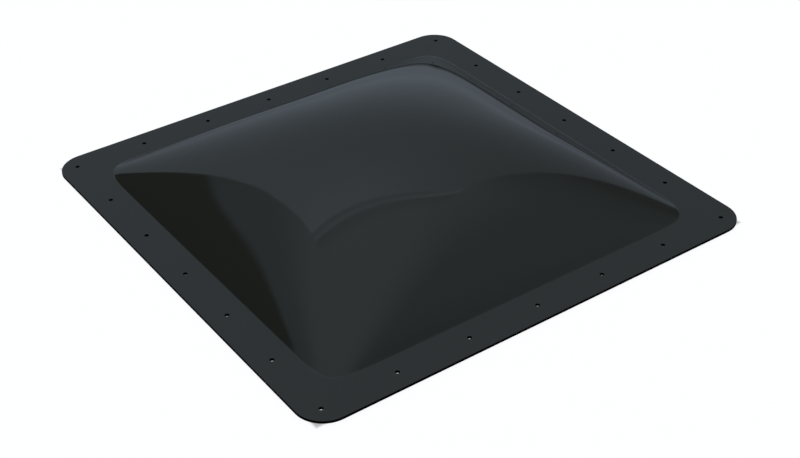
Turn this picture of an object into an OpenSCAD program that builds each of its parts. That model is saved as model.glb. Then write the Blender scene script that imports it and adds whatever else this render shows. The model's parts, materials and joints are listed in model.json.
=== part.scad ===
// Outer skylight dome for the roof of a recreational vehicle. One tinted plastic sheet is heated,
// clamped in a square frame and blown free into a pillow, then trimmed and drilled. Foam sealing
// strips lie under its flange. Origin: middle of the seating plane, under the strips. +Z is up,
// and X and Y run along the sides.

/* [Flange] */
// Overall width of the square flange
flange_w = 660.4; // [650:0.1:700]
// Radius of the flange's outer corners
flange_corner_r = 38; // [20:1:45]
// Thickness of the flat sheet
sheet_t = 4; // [3:0.5:6]

/* [Dome] */
// Width of the dome across its foot, at the flange's top face
dome_w = 558.8; // [500:0.1:560]
// Rise of the crown above the flange's top face
dome_h = 100; // [70:1:120]
// Radius of the foot's corners
foot_corner_r = 38; // [20:1:90]
// Thickness at the crown, where the blown sheet is thinnest
crown_t = 2.9; // [2:0.1:4]
// How much fuller than a parabola the middle of each side is blown
side_fullness = 0.15; // [0:0.01:0.3]

/* [Screw holes] */
// Holes along each side, both corner holes counted
holes_per_side = 7; // [3:1:9]
// Distance from the flange's edge to the line of holes
hole_inset = 25.4; // [20:0.1:30]
// Diameter of each hole
hole_d = 5.5; // [4:0.1:6.5]

/* [Seal] */
// Width of the foam strips
seal_w = 15; // [10:1:16]
// Thickness of the foam strips, pressed down
seal_t = 1.5; // [1:0.5:3]
// Distance from the line of holes in to the strips' outer edge
seal_setback = 6; // [4:1:8]

/* [Hidden] */

smoke = [0.10, 0.12, 0.13];
foam_grey = [0.30, 0.30, 0.31];

flange_top = seal_t + sheet_t;
hole_line = flange_w / 2 - hole_inset;
hole_pitch = 2 * hole_line / (holes_per_side - 1);
seal_outer = hole_line - seal_setback;
seal_inner = seal_outer - seal_w;

// The blown wall leaves the flange at side_slope, and keeps the sheet's thickness in the bend.
side_slope = atan(4 * dome_h * (1 + side_fullness) / dome_w);
bend_inset = sheet_t * tan(side_slope / 2);

// The pillow is a grid of grid_n by grid_n cells, whose square rings are its height contours.
grid_n = 32;
// How far a cutting solid runs past the face that it opens.
plunge = 1;

// Share of the full rise on ring t, which is 0 at the crown and 1 at the foot.
function rise(t) = (1 - t * t) * (1 + side_fullness * t * t);

// Corner radius of the contour at height share h, as a share of its half width. It grows evenly
// from the foot's at h = 0 to 1 at the crown, where the contour is a circle.
function roundness(h) =
    let (foot = 2 * foot_corner_r / dome_w)
    foot + (1 - foot) * h;

// Exponent of the superellipse that reaches as far along the diagonal as that rounded square.
function squareness(h) = -ln(2) / ln(1 - (1 - sqrt(0.5)) * roundness(h));

// Length of a direction in the measure whose unit circle is that superellipse.
function span(d, p) = pow(pow(abs(d[0]), p) + pow(abs(d[1]), p), 1 / p);

// Direction from the middle to grid point (u, v), crowded towards the corners.
function heading(u, v) =
    abs(u) >= abs(v)
        ? [sign(u), sin(90 * v / abs(u))]
        : [sin(90 * u / abs(v)), sign(v)];

// Grid point (u, v) of a pillow of that half width and height, with its foot at foot_z.
function pillow_point(u, v, half_w, height, foot_z) =
    let (t = max(abs(u), abs(v)))
    t == 0
        ? [0, 0, foot_z + height]
        : let (h = rise(t), d = heading(u, v), reach = half_w * t / span(d, squareness(h)))
          [reach * d[0], reach * d[1], foot_z + height * h];

// Place of grid number i, from -1 to 1.
function grid_place(i) = 2 * i / grid_n - 1;

// Grid numbers of the points round the foot, anticlockwise.
foot_walk = concat(
    [for (i = [0 : grid_n - 1]) [i, 0]],
    [for (j = [0 : grid_n - 1]) [grid_n, j]],
    [for (i = [grid_n : -1 : 1]) [i, grid_n]],
    [for (j = [grid_n : -1 : 1]) [0, j]]
);

// Solid pillow on a straight skirt that goes down from its foot by depth.
module pillow(half_w, height, foot_z, depth) {
    row = grid_n + 1;
    surface = [
        for (j = [0 : grid_n], i = [0 : grid_n])
            pillow_point(grid_place(i), grid_place(j), half_w, height, foot_z)
    ];
    foot = [for (g = foot_walk) g[1] * row + g[0]];
    skirt = [for (k = foot) [surface[k][0], surface[k][1], foot_z - depth]];
    first = len(surface);
    around = len(foot);
    // Each cell is split along the diagonal that runs round the pillow, not down it.
    cells = [
        for (j = [0 : grid_n - 1], i = [0 : grid_n - 1])
            let (a = j * row + i, b = a + 1, c = b + row, d = a + row,
                 falling = (i < grid_n / 2) == (j < grid_n / 2))
            each falling ? [[d, b, a], [d, c, b]] : [[c, b, a], [d, c, a]]
    ];
    walls = [
        for (k = [0 : around - 1])
            let (next = (k + 1) % around)
            each [
                [foot[k], foot[next], first + next],
                [foot[k], first + next, first + k]
            ]
    ];
    base = [for (k = [0 : around - 1]) first + k];
    polyhedron(points = concat(surface, skirt), faces = concat(cells, walls, [base]));
}

module rounded_square(width, radius) {
    middle = width - 2 * radius;
    square([width, middle], center = true);
    square([middle, width], center = true);
    for (x = [-1, 1], y = [-1, 1])
        translate([x, y] * middle / 2)
            circle(r = radius, $fn = 96);
}

// Calls its children at every hole, each corner hole once.
module at_each_hole() {
    for (turn = [0 : 3], k = [0 : holes_per_side - 2])
        rotate(90 * turn)
            translate([k * hole_pitch - hole_line, -hole_line])
                children();
}

module dome_cover() {
    color(smoke)
        difference() {
            union() {
                translate([0, 0, seal_t])
                    linear_extrude(sheet_t)
                        rounded_square(flange_w, flange_corner_r);
                pillow(dome_w / 2, dome_h, flange_top, sheet_t / 2);
            }
            pillow(dome_w / 2 - bend_inset, dome_h + sheet_t - crown_t, seal_t, plunge);
            at_each_hole()
                translate([0, 0, seal_t - plunge])
                    cylinder(d = hole_d, h = sheet_t + 2 * plunge, $fn = 48);
        }
}

// Strip along the side towards -Y, turned by the angle, with its ends cut square.
module seal_strip(angle, half_length) {
    color(foam_grey)
        rotate(angle)
            translate([-half_length, -seal_outer, 0])
                cube([2 * half_length, seal_w, seal_t]);
}

module seal_front() {
    seal_strip(0, seal_outer);
}

module seal_rear() {
    seal_strip(180, seal_outer);
}

module seal_left() {
    seal_strip(-90, seal_inner);
}

module seal_right() {
    seal_strip(90, seal_inner);
}

dome_cover();
seal_front();
seal_rear();
seal_left();
seal_right();
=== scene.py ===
# %% [markdown]
# # A smoked skylight dome for a vehicle's roof
#
# The real object is one sheet of dark smoke plastic. It is heated until it hangs like rubber,
# clamped in a square frame and blown up from below, so that it freezes as a shallow pillow with a
# flat rim. The rim becomes the flange: it is sawn to a rounded square and drilled for screws, and
# strips of foam seal it to the roof. The CAD frame knows all of that already. This script adds what
# CAD leaves out: a surface smooth enough to hold clean reflections, the soft bend at the dome's
# foot, sawn edges, foam that looks cut by hand, and a studio worth reflecting.

# %% Load the frame
import json
import math

import bpy
import numpy as np
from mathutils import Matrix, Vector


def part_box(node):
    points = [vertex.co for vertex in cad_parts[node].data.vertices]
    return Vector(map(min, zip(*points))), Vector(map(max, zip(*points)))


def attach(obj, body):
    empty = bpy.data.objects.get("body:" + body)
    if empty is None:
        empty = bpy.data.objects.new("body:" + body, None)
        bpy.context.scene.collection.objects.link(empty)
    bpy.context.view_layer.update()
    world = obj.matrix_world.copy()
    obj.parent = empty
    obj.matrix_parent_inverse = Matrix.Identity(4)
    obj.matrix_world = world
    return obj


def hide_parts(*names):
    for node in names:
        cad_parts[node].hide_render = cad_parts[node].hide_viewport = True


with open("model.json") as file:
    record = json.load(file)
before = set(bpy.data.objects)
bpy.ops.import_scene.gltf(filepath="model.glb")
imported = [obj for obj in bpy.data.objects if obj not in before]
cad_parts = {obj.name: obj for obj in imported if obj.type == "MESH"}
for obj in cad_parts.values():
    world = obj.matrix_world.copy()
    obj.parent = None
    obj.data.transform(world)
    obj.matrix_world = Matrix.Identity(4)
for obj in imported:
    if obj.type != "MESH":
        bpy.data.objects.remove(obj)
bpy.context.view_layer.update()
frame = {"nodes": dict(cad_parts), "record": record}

print("CAD nodes:", sorted(frame["nodes"]))

# %% [markdown]
# ## Sizes
#
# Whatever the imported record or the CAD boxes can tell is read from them: the screw holes, the
# flange, the strips. Only the corner radii and the shape of the blown pillow are written out again,
# because a mesh of triangles can't say which formula it came from. Metres everywhere.

# %% Sizes from the frame, and the pillow's own
MM = 0.001

screw_patterns = [m for m in frame["record"]["mounts"] if m["kind"] == "bolt_pattern"]
dome_low, dome_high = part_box("dome_cover")

flange_half = dome_high[0]
flange_under = dome_low[2]
flange_top = screw_patterns[0]["pos_m"][2]
sheet = flange_top - flange_under
crown_rise = dome_high[2] - flange_top
hole_radius = screw_patterns[0]["dims"]["hole_r_mm"] * MM

flange_corner = 38 * MM
dome_half = 279.4 * MM
foot_corner = 38 * MM
crown_sheet = 2.9 * MM
side_fullness = 0.15

side_slope = math.atan(2 * crown_rise * (1 + side_fullness) / dome_half)
bend_inset = sheet * math.tan(side_slope / 2)

print(f"flange {2 * flange_half / MM:.1f} mm wide and {sheet / MM:.1f} mm thick")
print(f"dome rises {crown_rise / MM:.0f} mm and leaves it at {math.degrees(side_slope):.1f} degrees")

# %% [markdown]
# ## The camera
#
# The dome is seen from its front left corner, from about two paces away and a little above the
# height of a table. The lens is a short telephoto, which keeps the far side of the square nearly
# as wide as the near side. The camera is turned a hair about its own axis, as a hand-held one is.

# %% Camera
from mathutils import Matrix, Vector

camera_place = Vector((-0.90673, -1.32260, 1.05672 + flange_top))
camera_target = Vector((-0.03869, -0.07951, flange_top - 0.00045))
camera_roll = math.radians(-1.10)

camera_data = bpy.data.cameras.new("studio_camera")
camera_data.sensor_width = 36
camera_data.lens = 65.36
camera = bpy.data.objects.new("studio_camera", camera_data)
bpy.context.scene.collection.objects.link(camera)
aim = (camera_target - camera_place).to_track_quat("-Z", "Y").to_matrix()
camera.matrix_world = Matrix.Translation(camera_place) @ (
    aim @ Matrix.Rotation(camera_roll, 3, "Z")
).to_4x4()
bpy.context.scene.camera = camera
print(f"camera {(camera_target - camera_place).length:.2f} m away")

# %% [markdown]
# ## From arrays to a mesh
#
# Every new piece is a few numpy arrays: points, and faces that are rows of point numbers. A mesh
# takes both in one go. Smooth shading hides the facets, and edges that turn by more than 35 degrees
# are kept crisp, because a drilled hole has a rim.

# %% Mesh helper
CRISP_ANGLE = math.radians(35)


def smooth(mesh):
    """Shades a mesh smooth, except along the edges that turn by more than the crisp angle."""
    mesh.shade_smooth()
    mesh.set_sharp_from_angle(angle=CRISP_ANGLE)


def make_piece(name, points, faces):
    """A mesh object at the origin, from an (n, 3) array of points and the faces' point numbers, an
    array or a list of rows."""
    mesh = bpy.data.meshes.new(name)
    mesh.from_pydata(points.tolist(), [], [list(face) for face in faces])
    mesh.validate()
    smooth(mesh)
    piece = bpy.data.objects.new(name, mesh)
    bpy.context.scene.collection.objects.link(piece)
    print(f"{name}: {len(mesh.vertices)} points, {len(mesh.polygons)} faces")
    return piece


def band(rows):
    """Quads between each closed row of point numbers and the next. A row is rolled back by one
    place to give every point its neighbour."""
    following = np.roll(rows, -1, axis=1)
    quads = [rows[:-1], rows[1:], following[1:], following[:-1]]
    return np.stack(quads, axis=-1).reshape(-1, 4)

# %% [markdown]
# ## The blown pillow
#
# Hot plastic blown up in a square frame rises like a soap film: across the middle of a side it is a
# slightly full parabola, and its height contours are circles at the crown that square off towards
# the foot. Both facts fit on a square grid. A grid point's ring, t, sets its height, and its
# direction from the middle is measured with the superellipse that the contour of that height is. A
# square grid also has no pole at the crown, where a fan of thin triangles would spoil the shine.

# %% Contours
CROWDING = math.radians(72)


def rise(t):
    """Share of the full rise on ring t: (1 - t squared) times (1 + fullness times t squared)."""
    return (1 - t * t) * (1 + side_fullness * t * t)


def squareness(h):
    """Exponent of the contour at height share h. The contour's corner radius, as a share of its
    half width, grows evenly from the foot's at h = 0 to a circle's at h = 1."""
    foot = foot_corner / dome_half
    roundness = foot + (1 - foot) * h
    return -math.log(2) / np.log(1 - (1 - math.sqrt(0.5)) * roundness)


def on_contour(direction, h, half_width):
    """Points in those directions on the superellipse of that half width: the direction, divided
    by the p-th root of |x| to the p plus |y| to the p."""
    p = squareness(h)[..., None]
    length = (np.abs(direction) ** p).sum(axis=-1, keepdims=True) ** (1 / p)
    return direction * (half_width / length[..., 0])[..., None]


def square_grid(cells):
    """Ring number t and direction of every point of a square grid. A direction is the point pushed
    out to the square's side, with its place along the side crowded towards the corners by a sine."""
    steps = np.linspace(-1, 1, cells + 1)
    u, v = np.meshgrid(steps, steps)
    t = np.maximum(np.abs(u), np.abs(v))
    scale = np.where(t == 0, 1, t)
    eased_u = np.sin(CROWDING * u / scale) / math.sin(CROWDING)
    eased_v = np.sin(CROWDING * v / scale) / math.sin(CROWDING)
    sideways = np.abs(u) >= np.abs(v)
    direction = np.stack(
        [np.where(sideways, np.sign(u), eased_u), np.where(sideways, eased_v, np.sign(v))], axis=-1
    )
    direction[t == 0] = (1, 0)
    return t, direction


def pillow(t, direction, half_width, height, foot_z):
    """Points of the pillow on rings t: on the contour of the ring's height, and that high."""
    h = rise(t)
    flat = on_contour(direction, h, half_width * t)
    return np.concatenate([flat, (foot_z + height * h)[..., None]], axis=-1)


def walk_round(rows):
    """The outermost numbers of a square array of numbers, anticlockwise."""
    return np.concatenate([rows[0, :-1], rows[:-1, -1], rows[-1, :0:-1], rows[:0:-1, 0]])


print(f"contours: exponent {squareness(0.0):.1f} at the foot and {squareness(1.0):.1f} at the crown")

# %% [markdown]
# ## The flange
#
# The flange is sawn to a square with round corners, so its outline has true arcs, unlike the blown
# contours. Its rings are found by following each direction until it meets that outline.

# %% Outline
def on_outline(direction, half_width, corner):
    """Points in those directions on a rounded square. Past the straight part, k times (1, v) lies
    on the corner's circle, which is a quadratic in k."""
    v = np.abs(direction).min(axis=-1)
    centre = half_width - corner
    root = np.maximum(corner**2 * (1 + v * v) - centre**2 * (1 - v) ** 2, 0)
    round_reach = (centre * (1 + v) + np.sqrt(root)) / (1 + v * v)
    reach = np.where(half_width * v <= centre, half_width, round_reach)
    return direction * reach[:, None]


def lifted(flat, z):
    """Flat points at height z."""
    return np.concatenate([flat, np.full((len(flat), 1), z)], axis=-1)


def bend(start, corner, end, steps):
    """Rows of points along the parabola that leaves start towards corner and arrives at end."""
    w = np.linspace(0, 1, steps + 1)[1:, None, None]
    return (1 - w) ** 2 * start + 2 * w * (1 - w) * corner + w * w * end

# %% [markdown]
# ## The whole moulding as one skin
#
# The skin starts at the crown, runs down the outside, eases through a small bend into the flange,
# goes round the sawn edge, back under the flange, and up inside to the crown again. It is two square
# grids with a stack of rings between them, all with the same number of points round, so it closes
# without a seam. The bend wanders a little from side to side, as a bend made by a clamp does. A
# ring of support just past each bend keeps the flat flange flat right up to it.

# %% Dome skin
GRID = 144
FILLET = 1.5 * MM
FILLET_WANDER = 0.12
BEND_STEPS = 10
EDGE_ROUND = 0.5 * MM
EDGE_STEPS = 5
SUPPORT = 0.6 * MM


def wander(direction, amount):
    """A slow, seeded wobble round the foot: a few sines of the angle with fixed phases."""
    angle = np.arctan2(direction[:, 1], direction[:, 0])[:, None]
    waves = np.array([5, 9, 14, 23])
    phases = np.array([0.4, 2.1, 4.0, 1.3])
    strengths = np.array([0.5, 0.3, 0.25, 0.15])
    return amount * (strengths * np.sin(waves * angle + phases)).sum(axis=1)


def skin_side(half_width, height, foot_z, fillet):
    """One face of the blown sheet: its grid up to the bend, the numbers and the directions of the
    points round the grid's foot, and the rings through the bend."""
    t, direction = square_grid(GRID)
    round_the_foot = walk_round(np.arange(t.size).reshape(t.shape))
    heads = direction.reshape(-1, 2)[round_the_foot]
    width = fillet + wander(heads, FILLET_WANDER * fillet)
    last_ring = 1 - fillet / half_width
    surface = pillow(t * last_ring, direction, half_width, height, foot_z).reshape(-1, 3)
    at_foot = on_contour(heads, np.zeros(len(heads)), np.full(len(heads), half_width))
    beyond = on_contour(heads, np.zeros(len(heads)), half_width + width)
    rings = bend(
        surface[round_the_foot], lifted(at_foot, foot_z), lifted(beyond, foot_z), BEND_STEPS
    )
    return surface, round_the_foot, heads, rings


outer, outer_foot, heads, outer_bend = skin_side(dome_half, crown_rise, flange_top, FILLET)
inner, inner_foot, _, inner_bend = skin_side(
    dome_half - bend_inset, crown_rise + sheet - crown_sheet, flange_under, FILLET + bend_inset
)


def flange_rings(bend_end, z, shares):
    """Flat rings from the end of the bend to where the sawn edge starts to turn over."""
    rim = lifted(on_outline(heads, flange_half - EDGE_ROUND, flange_corner - EDGE_ROUND), z)
    return np.stack([bend_end + (rim - bend_end) * s for s in shares])


def edge_rings(steps):
    """Rings round the sawn edge: a quarter turn, the straight cut, and another quarter turn."""
    turn = np.linspace(0, math.pi / 2, steps + 1)[1:]
    out = np.concatenate([np.sin(turn), np.sin(turn[::-1]), [0]])
    drop = EDGE_ROUND * (1 - np.cos(turn))
    z = np.concatenate([flange_top - drop, flange_under + drop[::-1], [flange_under]])
    inset = EDGE_ROUND * (1 - out)
    return np.stack([
        lifted(on_outline(heads, flange_half - i, flange_corner - i), height)
        for i, height in zip(inset, z)
    ])


flange_run = flange_half - dome_half - FILLET
shares = np.array([SUPPORT / flange_run, 0.2, 0.4, 0.6, 0.8, 1 - SUPPORT / flange_run])
top_rings = flange_rings(outer_bend[-1], flange_top, np.append(shares, 1))
under_rings = flange_rings(inner_bend[-1], flange_under, shares[::-1])
edge = edge_rings(EDGE_STEPS)
rings = np.concatenate([outer_bend, top_rings, edge, under_rings, inner_bend[::-1]])

around = len(heads)
ring_numbers = len(outer) + np.arange(rings.shape[0] * around).reshape(-1, around)
inner_start = len(outer) + ring_numbers.size
rows = np.vstack([outer_foot, ring_numbers, inner_start + inner_foot])
cell = np.arange((GRID + 1) ** 2).reshape(GRID + 1, GRID + 1)
corners = [cell[:-1, :-1], cell[:-1, 1:], cell[1:, 1:], cell[1:, :-1]]
grid_faces = np.stack(corners, axis=-1).reshape(-1, 4)
skin_points = np.concatenate([outer, rings.reshape(-1, 3), inner])
skin_faces = np.concatenate([grid_faces, band(rows), inner_start + grid_faces[:, ::-1]])
print("rings between the two grids:", len(rings))

# %% [markdown]
# ## Drilling
#
# The holes could be woven into the grid, but on the real flange they are drilled through a finished
# sheet, and a Boolean modifier does just that. The drill is one mesh of many bits, each a profile
# turned about its axis. It flares a little at both faces, which leaves the fine chamfer that a
# deburred hole has. Hole places come from the record's own mounts.

# %% Drill and cover
BIT_SIDES = 40
CHAMFER = 0.2 * MM
OVERRUN = 0.5 * MM


def hole_places(pattern):
    """Centres of a bolt pattern's holes: every corner of its rectangle, or both ends of its line."""
    centre, dims = pattern["pos_m"], pattern["dims"]
    half_x = dims.get("spacing_x_mm", 0) * MM / 2
    half_y = dims.get("spacing_y_mm", 0) * MM / 2
    return {
        (round(centre[0] + i * half_x, 6), round(centre[1] + j * half_y, 6))
        for i in (-1, 1)
        for j in (-1, 1)
    }


def turned(profile, sides):
    """Points of a profile of (radius, height) rows turned about Z, as (rows, sides, 3)."""
    angle = np.arange(sides) * 2 * math.pi / sides
    ring = np.stack([np.cos(angle), np.sin(angle), np.zeros(sides)], axis=-1)
    radius, height = np.asarray(profile).T
    return ring * radius[:, None, None] + height[:, None, None] * np.array([0, 0, 1])


holes = sorted(set().union(*[hole_places(p) for p in screw_patterns]))
flare = CHAMFER + OVERRUN
profile = [
    (hole_radius + flare, flange_under - OVERRUN),
    (hole_radius, flange_under + CHAMFER),
    (hole_radius, flange_top - CHAMFER),
    (hole_radius + flare, flange_top + OVERRUN),
]
bit = turned(profile, BIT_SIDES)
bit_rows = np.arange(bit.shape[0] * BIT_SIDES).reshape(-1, BIT_SIDES)
bit_walls = band(bit_rows)[:, ::-1]
drill_points = np.concatenate([bit.reshape(-1, 3) + (x, y, 0) for x, y in holes])
drill_faces = []
for i in range(len(holes)):
    numbers = bit_rows + i * bit_rows.size
    drill_faces += (bit_walls + i * bit_rows.size).tolist()
    drill_faces += [numbers[0, ::-1].tolist(), numbers[-1].tolist()]

cover = make_piece("smoked_dome", skin_points, skin_faces)
drill = make_piece("drill", drill_points, drill_faces)

drilling = cover.modifiers.new("drilling", "BOOLEAN")
drilling.operation = "DIFFERENCE"
drilling.solver = "MANIFOLD"
drilling.object = drill
view_layer = bpy.context.view_layer
view_layer.update()
drilled = bpy.data.meshes.new_from_object(cover.evaluated_get(view_layer.depsgraph))
cover.modifiers.clear()
cover.data = drilled
smooth(drilled)
bpy.data.objects.remove(drill)
print(f"{len(holes)} holes drilled, {len(drilled.polygons)} faces")

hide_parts("dome_cover")
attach(cover, "root")

# %% [markdown]
# ## The sealing strips
#
# The strips are closed-cell foam tape, cut by hand from a roll and butted at the corners. Pressed
# under the flange, a strip keeps its thickness but its sides belly out a little, and the scissors
# never follow a straight line. The strip is a superellipse carried along its middle line. The cut
# pinches each end a little, and a flat cap closes it.

# %% Foam strips
STATIONS = 240
STRIP_SIDES = 36
STRIP_SQUARENESS = 7
SCISSOR_WAVER = 0.35 * MM
END_EASE = 0.4 * MM
PINCHED_END = 0.15


def foam_strip(name, seed):
    """A strip in its CAD node's box: across it the outline is a superellipse, so nearly square, and
    along it each side wavers by sines whose phases are seeded. Over the last stretch it thins to the
    pinched end along a quarter circle."""
    low, high = (np.array(corner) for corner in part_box(name))
    size = high - low
    along = int(np.argmax(size[:2]))
    across = 1 - along
    s = np.linspace(0, 1, STATIONS)[:, None]
    # The outline is walked one way or the other so that the faces look outwards.
    turn = 2 * math.pi * (-1 if along == 0 else 1)
    angle = np.linspace(0, turn, STRIP_SIDES, endpoint=False)
    outline = np.stack([np.cos(angle), np.sin(angle)])
    outline /= (np.abs(outline) ** STRIP_SQUARENESS).sum(axis=0) ** (1 / STRIP_SQUARENESS)
    phases = np.random.default_rng(seed).uniform(0, 2 * math.pi, (2, 4))
    turns = np.array([2, 5, 11, 19])
    strengths = np.array([0.5, 0.25, 0.15, 0.1]) * SCISSOR_WAVER
    waver = (np.sin(2 * math.pi * s[..., None] * turns + phases[:, None, None]) * strengths).sum(-1)
    half_across = size[across] / 2 - SCISSOR_WAVER + np.where(outline[0] > 0, waver[0], waver[1])
    inside = np.minimum(s, 1 - s) * size[along]
    opening = np.sqrt(np.clip(1 - (1 - np.minimum(inside / END_EASE, 1)) ** 2, 0, 1))
    fullness = PINCHED_END + (1 - PINCHED_END) * opening
    points = np.empty((STATIONS, STRIP_SIDES, 3))
    points[..., along] = low[along] + s * size[along]
    points[..., across] = (low + high)[across] / 2 + outline[0] * half_across
    points[..., 2] = (low + high)[2] / 2 + outline[1] * size[2] / 2 * fullness
    numbers = np.arange(STATIONS * STRIP_SIDES).reshape(STATIONS, STRIP_SIDES)
    faces = [*band(numbers).tolist(), numbers[0].tolist(), numbers[-1, ::-1].tolist()]
    piece = make_piece(name + "_foam", points.reshape(-1, 3), faces)
    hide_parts(name)
    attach(piece, "root")
    return piece


seal_names = [name for name in sorted(frame["nodes"]) if name.startswith("seal_")]
strips = [foam_strip(name, seed) for seed, name in enumerate(seal_names)]

# %% [markdown]
# ## Shader arithmetic
#
# A material is a small sum worked out at every point of a surface. Writing it as Python
# expressions keeps it readable: a Value wraps a socket, and adding or multiplying Values adds Math
# nodes. Every other node comes from one method, which is told the node's type, its settings and
# what goes into its sockets.

# %% Value and Shader
class Value:
    """A socket that can be used in arithmetic."""

    def __init__(self, shader, socket):
        self.shader = shader
        self.socket = socket

    def math(self, operation, *inputs):
        return self.shader.node("Math", {"operation": operation}, dict(enumerate(inputs)))

    def __add__(self, other):
        return self.math("ADD", self, other)

    def __sub__(self, other):
        return self.math("SUBTRACT", self, other)

    def __rsub__(self, other):
        return self.math("SUBTRACT", other, self)

    def __mul__(self, other):
        return self.math("MULTIPLY", self, other)

    def __truediv__(self, other):
        return self.math("DIVIDE", self, other)

    __radd__ = __add__
    __rmul__ = __mul__

    def least(self, other):
        return self.math("MINIMUM", self, other)

    def most(self, other):
        return self.math("MAXIMUM", self, other)

    def size(self):
        return self.math("ABSOLUTE", self)

    def step(self, start, end):
        """0 below start, 1 above end, and a smooth S between them."""
        inputs = {"Value": self, "From Min": start, "From Max": end}
        return self.shader.node("MapRange", {"interpolation_type": "SMOOTHSTEP"}, inputs)


class Shader:
    """The node tree of a material or of the world."""

    def __init__(self, owner):
        owner.use_nodes = True
        self.tree = owner.node_tree
        self.tree.nodes.clear()

    def node(self, kind, settings=None, inputs=None, out=0):
        """Adds a node, makes its settings, fills its inputs and gives one of its outputs. A ramp's
        setting is its stops, as (place, colour) rows."""
        made = self.tree.nodes.new("ShaderNode" + kind)
        for name, setting in (settings or {}).items():
            if name == "stops":
                self.set_stops(made.color_ramp, setting)
            else:
                setattr(made, name, setting)
        for name, given in (inputs or {}).items():
            if isinstance(given, Value):
                self.tree.links.new(given.socket, made.inputs[name])
            else:
                made.inputs[name].default_value = given
        return Value(self, made.outputs[out]) if made.outputs else None

    def set_stops(self, ramp, stops):
        while len(ramp.elements) < len(stops):
            ramp.elements.new(1)
        for element, (place, colour) in zip(ramp.elements, stops):
            element.position = place
            element.color = (*colour, 1)

    def surface(self, shader, kind="OutputMaterial"):
        self.node(kind, inputs={"Surface": shader})

# %% [markdown]
# ## Smoke plastic
#
# Seen from outside, dark smoke sheet is nearly black and all its looks come from its shine. So the
# finish is mostly about small departures from a perfect mirror: the faint orange peel that hot
# plastic freezes with, a breath of haze and a few wipe marks that hardly change more than the
# roughness, and the sawn edges and drilled walls, which are rougher and painted near black as shade.
# A cut is told by its normal, which is nearer to level than the blown wall's ever is.

# %% Smoke plastic
SMOKE = (0.061, 0.058, 0.041)
SMOKE_HAZED = (0.055, 0.053, 0.038)
# Near black painted on the sawn edges and hole walls: painted shade for the shadow they stand in.
CUT_PAINTED_SHADE = (0.004, 0.0045, 0.0045)

STEEPEST_CUT = 0.45
STEEPEST_WALL = 0.7

POLISHED = 0.035
HAZE_ROUGHNESS = 0.03
WIPE_ROUGHNESS = 0.02
CUT_ROUGHNESS = 0.33

PEEL_HEIGHT = 0.9
FINE_PEEL_HEIGHT = 0.02
SAW_HEIGHT = 0.05


def smoke_plastic():
    material = bpy.data.materials.new("smoke_plastic")
    shader = Shader(material)
    place = shader.node("TexCoord", out="Object")
    normal = shader.node("NewGeometry", out="Normal")
    facing_up = shader.node("SeparateXYZ", inputs={0: normal}, out="Z")
    cut = 1 - facing_up.size().step(STEEPEST_CUT, STEEPEST_WALL)

    peel = shader.node("TexNoise", inputs={"Vector": place, "Scale": 9, "Detail": 2})
    fine_peel = shader.node("TexNoise", inputs={"Vector": place, "Scale": 160, "Detail": 2})
    saw_marks = shader.node("TexNoise", inputs={"Vector": place, "Scale": 1400, "Detail": 3})
    haze = shader.node("TexNoise", inputs={"Vector": place, "Scale": 14, "Detail": 5})
    streaked = {"Vector": place, "Rotation": (0, 0, 0.6), "Scale": (1, 26, 1)}
    wipes = shader.node("TexNoise", inputs={
        "Vector": shader.node("Mapping", inputs=streaked), "Scale": 22, "Detail": 4,
    })

    # The cut faces are painted near black: painted shade, not the sheet's own colour.
    shade = shader.node(
        "ValToRGB",
        {"stops": [(0, SMOKE), (0.5, SMOKE_HAZED), (0.9, CUT_PAINTED_SHADE)]},
        {0: haze * 0.5 * (1 - cut) + cut},
    )
    marks = HAZE_ROUGHNESS * haze.step(0.35, 0.75) + WIPE_ROUGHNESS * wipes.step(0.6, 0.75)
    roughness = POLISHED + marks + CUT_ROUGHNESS * cut
    height = peel * PEEL_HEIGHT + fine_peel * FINE_PEEL_HEIGHT + saw_marks * cut * SAW_HEIGHT
    bump = shader.node("Bump", inputs={"Height": height, "Strength": 1.0, "Distance": 0.0002})
    plastic = shader.node("BsdfPrincipled", inputs={
        "Base Color": shade,
        "Roughness": roughness,
        "Normal": bump,
        "IOR": 1.58,
    })
    shader.surface(plastic)
    print("smoke_plastic:", len(shader.tree.nodes), "nodes")
    return material


cover.data.materials.clear()
cover.data.materials.append(smoke_plastic())

# %% [markdown]
# ## Foam
#
# Closed-cell foam is matt and a little uneven. Its cut sides show cells a fraction of a millimetre
# across, which Voronoi cells give in the height and, faintly, as painted shade in their hollows.

# %% Foam
FOAM_DARK_AND_HOLLOW_SHADE = (0.022, 0.022, 0.023)
FOAM_FACE = (0.055, 0.055, 0.057)


def foam():
    material = bpy.data.materials.new("foam")
    shader = Shader(material)
    place = shader.node("TexCoord", out="Object")
    cells = shader.node("TexVoronoi", inputs={"Vector": place, "Scale": 1600}, out="Distance")
    patches = shader.node("TexNoise", inputs={"Vector": place, "Scale": 60, "Detail": 4})
    # Random patches vary the foam's tone, and the cells darken towards their hollows, which is painted
    # shade.
    shade = shader.node(
        "ValToRGB",
        {"stops": [(0, FOAM_DARK_AND_HOLLOW_SHADE), (1, FOAM_FACE)]},
        {0: patches * 0.6 + cells * 0.4},
    )
    bump = shader.node("Bump", inputs={"Height": cells, "Strength": 0.6, "Distance": 0.0003})
    body = shader.node("BsdfPrincipled", inputs={
        "Base Color": shade,
        "Roughness": 0.86 + 0.1 * patches,
        "Normal": bump,
        "IOR": 1.45,
    })
    shader.surface(body)
    print("foam:", len(shader.tree.nodes), "nodes")
    return material


foam_finish = foam()
for strip in strips:
    strip.data.materials.append(foam_finish)

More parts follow.
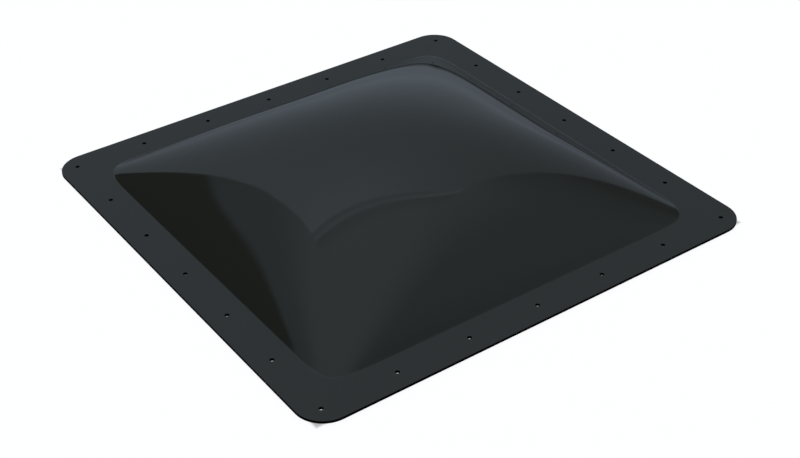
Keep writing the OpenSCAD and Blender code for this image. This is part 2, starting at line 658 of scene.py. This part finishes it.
# %% [markdown]
# ## The studio
#
# A dark gloss surface shows the room and little else, so the room is drawn with care. It is a
# function of direction. A direction that goes `ahead` and `sideways` meets a wall one unit away at
# x = sideways / ahead and y = up / ahead, and on that wall straight edges are simply limits on x
# and y. The wall carries one large soft panel that is brighter towards its top. Above it come a
# dimmer gap and a thin lit rail.
#
# Round the panel the room is nearly black low down, under an arch on the left and with a soft edge
# on the right, apart from a little light that the floor throws up. Higher up it is dim, and a patch
# of the ceiling glows. Behind the camera the same panel is repeated, turned half round, between
# walls that aren't as dark, and the ceiling there is a little dimmer overhead.

# %% Studio
WALL_AZIMUTH = 33
TINT = (0.84, 1.0, 1.19)
SOFT = 0.012

PANEL_TOP = 1.857
RAIL_FOOT = 1.946
RAIL_TOP = 2.032
RIGHT_FOOT = 0.575
RIGHT_LEAN = 0.118
LEFT_FOOT = -0.577
LEFT_LEAN = -0.331
LEFT_LIMIT = -0.935

PANEL_LIGHT = 0.257
PANEL_DIP = 0.12
PANEL_RISE = 0.5
PANEL_FADE = 0.3
GAP_LIGHT = 0.33
RAIL_LIGHT = 0.1
OVER_RAIL_SHADE = 0.2

ARCH_PLACE = -0.68
ARCH_TOP = 0.589
ARCH_BOW = 3
LOW_LIGHT = 0.055
LOW_LIGHT_LEFT = 0.015
FLOOR_LIGHT = 0.2

HIGH_FROM = 0.32
HIGH_GAIN = 0.4
HIGH_MOST = 0.2
FAR_LEFT_LIGHT = 0.08
GLOW_LIGHT = 0.16
OVERHEAD_SHADE = 0.25


def direction_of(azimuth, elevation):
    """Unit vector at that azimuth, clockwise from +Y, and elevation, both in degrees."""
    a, e = math.radians(azimuth), math.radians(elevation)
    return Vector((math.sin(a) * math.cos(e), math.cos(a) * math.cos(e), math.sin(e)))


def past(margin):
    """1 where the margin is above 0 and 0 where it is below, with a soft edge between."""
    return margin.step(-SOFT, SOFT)


def between_sides(x, y):
    """1 between the panel's sides. Both lean outwards with height, x = foot + lean times y, and the
    left one turns upright where it meets its limit."""
    right = past(RIGHT_FOOT + RIGHT_LEAN * y - x)
    left = past(x - LEFT_FOOT - LEFT_LEAN * y) * past(x - LEFT_LIMIT)
    return right * left


def panel_light(x, up):
    """The panel's light. It dips slightly and then rises with the square of up, and fades to the
    right."""
    height = up * up
    return (PANEL_LIGHT - PANEL_DIP * height + PANEL_RISE * height * height) * (1 - PANEL_FADE * x)


def low_walls(x, sideways, up, on_left):
    """1 where the wall ahead is dark. On the left that is under an arch, the height
    top - bow times (sideways - place) squared. On the right it fades out upwards and far aside."""
    aside = sideways - ARCH_PLACE
    left = 1 - past(up + ARCH_BOW * aside * aside - ARCH_TOP)
    right = (1 - up.step(0.3, 0.6)) * (1 - x.step(1, 2))
    return left * on_left + right * (1 - on_left)


def high_walls(sideways, up, closed):
    """Light above the dark walls. Where the room is closed it grows with height, and far to the left
    there is more of it. Elsewhere it is even."""
    far_left = FAR_LEFT_LIGHT * (0 - sideways).step(0.3, 0.75)
    dim = (HIGH_GAIN * (up - HIGH_FROM) + far_left).least(HIGH_MOST + far_left).most(0)
    return dim * closed + HIGH_MOST * (1 - closed)


def studio():
    world = bpy.data.worlds.new("studio")
    bpy.context.scene.world = world
    shader = Shader(world)
    ray = shader.node("TexCoord", out="Generated")

    def along(direction):
        return shader.node(
            "VectorMath", {"operation": "DOT_PRODUCT"}, {0: ray, 1: direction}, out="Value"
        )

    facing = along(direction_of(WALL_AZIMUTH, 0))
    sideways = along(direction_of(WALL_AZIMUTH + 90, 0))
    up = along((0, 0, 1))
    ahead = facing.size() + 0.0001
    half_turn = facing.math("SIGN", facing)
    x = sideways * half_turn / ahead
    y = up / ahead

    sides = between_sides(x, y)
    panel = sides * past(PANEL_TOP - y)
    gap = sides * past(y - PANEL_TOP) * past(RAIL_TOP - y)
    rail = sides * past(y - RAIL_FOOT) * past(RAIL_TOP - y)
    over_rail = sides * past(y - RAIL_TOP) * (1 - (y - RAIL_TOP).step(0, 0.45))

    in_front = facing.step(0, 0.16)
    on_left = (0 - sideways).step(-0.1, 0.1)
    low = in_front * low_walls(x, sideways, up, on_left)
    in_the_dark = LOW_LIGHT + (LOW_LIGHT_LEFT - LOW_LIGHT) * on_left
    thrown_up = in_the_dark + FLOOR_LIGHT * (1 - up.step(0, 0.25))

    closed = in_front * (1 - x.step(1.6, 5))
    glow = GLOW_LIGHT * along(direction_of(20, 72)).step(0.79, 0.99)
    overhead = (0 - facing).step(0, 0.2) * up.step(0.6, 0.72)
    shade = (1 - OVER_RAIL_SHADE * over_rail) * (1 - OVERHEAD_SHADE * overhead)
    high = (high_walls(sideways, up, closed) + glow) * shade

    room = high * (1 - low) + thrown_up * low
    lamps = panel_light(x, up) * panel + GAP_LIGHT * gap + RAIL_LIGHT * rail
    light = room * (1 - panel) * (1 - gap) + lamps

    tinted = shader.node("VectorMath", {"operation": "SCALE"}, {0: TINT, "Scale": light}, out="Vector")
    lit = shader.node("Background", inputs={"Color": tinted})
    backdrop = shader.node("Background", inputs={"Color": (1, 1, 1, 1)})
    straight = shader.node("LightPath", out="Is Camera Ray")
    mix = shader.node("MixShader", inputs={0: straight, 1: lit, 2: backdrop})
    shader.surface(mix, "OutputWorld")
    print("studio:", len(shader.tree.nodes), "nodes")


studio()
bpy.context.scene.view_settings.view_transform = "Standard"

# %% [markdown]
# ## The floor
#
# The floor is plain white paper. Whoever looks straight at it sees paper lit from above. The dome,
# low over it, sees the part that the lights hardly reach: grey further out, and black in the shadow
# close to the flange.

# %% Floor
FLOOR_HALF = 12.0
FLOOR_DROP = 0.2 * MM
PAPER_LIGHT = 0.93
COVERED_LIGHT = 0.45
NEAR_GREY = 0.17
FAR_GREY = 0.255

floor_corners = np.array([(-1, -1, 0), (1, -1, 0), (1, 1, 0), (-1, 1, 0)]) * FLOOR_HALF
floor = make_piece("floor", floor_corners - (0, 0, FLOOR_DROP), [(0, 1, 2, 3)])


def floor_finish():
    """White where it is looked at, and a painted shadow of half that under the flange, which shows
    through the screw holes. In the dome's gloss it is grey, with painted shade darker near the dome
    and a painted black shadow close to the flange."""
    material = bpy.data.materials.new("floor")
    shader = Shader(material)
    place = shader.node("TexCoord", out="Object")
    distance = shader.node("VectorMath", {"operation": "LENGTH"}, {0: place}, out="Value")
    across = shader.node("SeparateXYZ", inputs={0: place}, out="X").size()
    deep = shader.node("SeparateXYZ", inputs={0: place}, out="Y").size()
    reach = across.most(deep)

    def glow(colour, strength):
        inputs = {0: colour, "Scale": strength}
        scaled = shader.node("VectorMath", {"operation": "SCALE"}, inputs, out="Vector")
        return shader.node("Emission", inputs={"Color": scaled})

    # Under the flange the paper's white is halved: a painted shadow.
    shown = reach.step(flange_half - 10 * MM, flange_half - 5 * MM)
    white = glow((1, 1, 1), COVERED_LIGHT + (PAPER_LIGHT - COVERED_LIGHT) * shown)
    # In the gloss the floor is painted darker near the dome and black close to the flange: painted
    # shade and a painted shadow.
    clear = reach.step(flange_half + 10 * MM, flange_half + 70 * MM)
    further = distance.step(0.3, 1.1)
    grey = glow(TINT, (NEAR_GREY + (FAR_GREY - NEAR_GREY) * further) * clear)
    paper = shader.node("BsdfDiffuse", inputs={"Color": (0.3, 0.3, 0.3, 1)})
    bright = shader.node("AddShader", inputs={0: white, 1: paper})
    straight = shader.node("LightPath", out="Is Camera Ray")
    shader.surface(shader.node("MixShader", inputs={0: straight, 1: grey, 2: bright}))
    return material


floor.data.materials.append(floor_finish())
